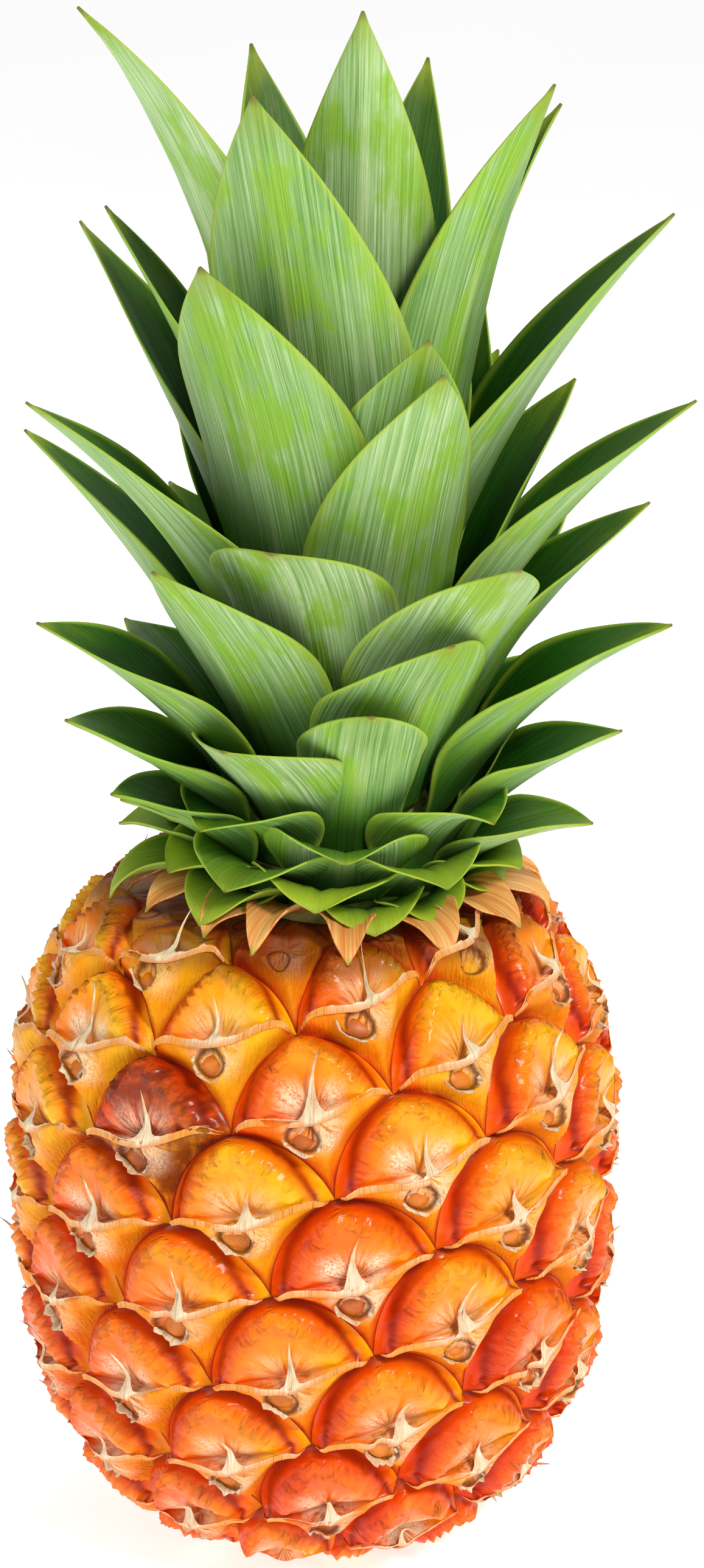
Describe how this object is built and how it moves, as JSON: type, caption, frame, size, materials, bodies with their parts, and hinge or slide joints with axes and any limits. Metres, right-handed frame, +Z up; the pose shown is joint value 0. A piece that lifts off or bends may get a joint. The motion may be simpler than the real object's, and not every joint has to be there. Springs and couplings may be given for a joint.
{
  "type": "pineapple",
  "caption": "Whole ripe pineapple standing on its cut base, with raised eyes in two spirals and a tall crown of channelled pointed leaves.",
  "frame": {"origin": "middle of the flat cut base that the fruit stands on", "axes": "+Z up through the fruit to the crown, -Y to the front of the fruit, +X to its right seen from the front"},
  "size_m": [0.1262, 0.1188, 0.2931],
  "materials": {
    "rind": "waxy satin orange shields between papery bracts",
    "crown_stem": "satin yellow-green",
    "leaf": "satin green, paler and dusted outside"
  },
  "bodies": {
    "root": {"fruit": "rind", "crown_stem": "crown_stem", "crown_leaf_15": "leaf", "crown_leaf_16": "leaf", "crown_leaf_17": "leaf", "crown_leaf_18": "leaf", "crown_leaf_19": "leaf", "crown_leaf_20": "leaf", "crown_leaf_21": "leaf", "crown_leaf_22": "leaf", "crown_leaf_23": "leaf", "crown_leaf_24": "leaf", "crown_leaf_25": "leaf", "crown_leaf_26": "leaf", "crown_leaf_27": "leaf", "crown_leaf_28": "leaf", "crown_leaf_29": "leaf", "crown_leaf_30": "leaf", "crown_leaf_31": "leaf", "crown_leaf_32": "leaf", "crown_leaf_33": "leaf", "crown_leaf_34": "leaf", "crown_leaf_35": "leaf", "crown_leaf_36": "leaf", "crown_leaf_37": "leaf", "crown_leaf_38": "leaf", "crown_leaf_39": "leaf", "crown_leaf_40": "leaf", "crown_leaf_41": "leaf", "crown_leaf_42": "leaf", "crown_leaf_43": "leaf", "crown_leaf_44": "leaf", "crown_leaf_45": "leaf", "crown_leaf_46": "leaf", "crown_leaf_47": "leaf", "crown_leaf_48": "leaf", "crown_leaf_49": "leaf", "crown_leaf_50": "leaf", "crown_leaf_51": "leaf", "crown_leaf_52": "leaf", "crown_leaf_53": "leaf", "crown_leaf_54": "leaf", "crown_leaf_55": "leaf", "crown_leaf_56": "leaf", "crown_leaf_57": "leaf", "crown_leaf_58": "leaf", "crown_leaf_59": "leaf", "crown_leaf_60": "leaf", "crown_leaf_61": "leaf", "crown_leaf_62": "leaf", "crown_leaf_63": "leaf", "crown_leaf_64": "leaf", "crown_leaf_65": "leaf", "crown_leaf_66": "leaf", "crown_leaf_67": "leaf", "crown_leaf_68": "leaf", "crown_leaf_69": "leaf", "crown_leaf_70": "leaf"}
  },
  "joints": []
}
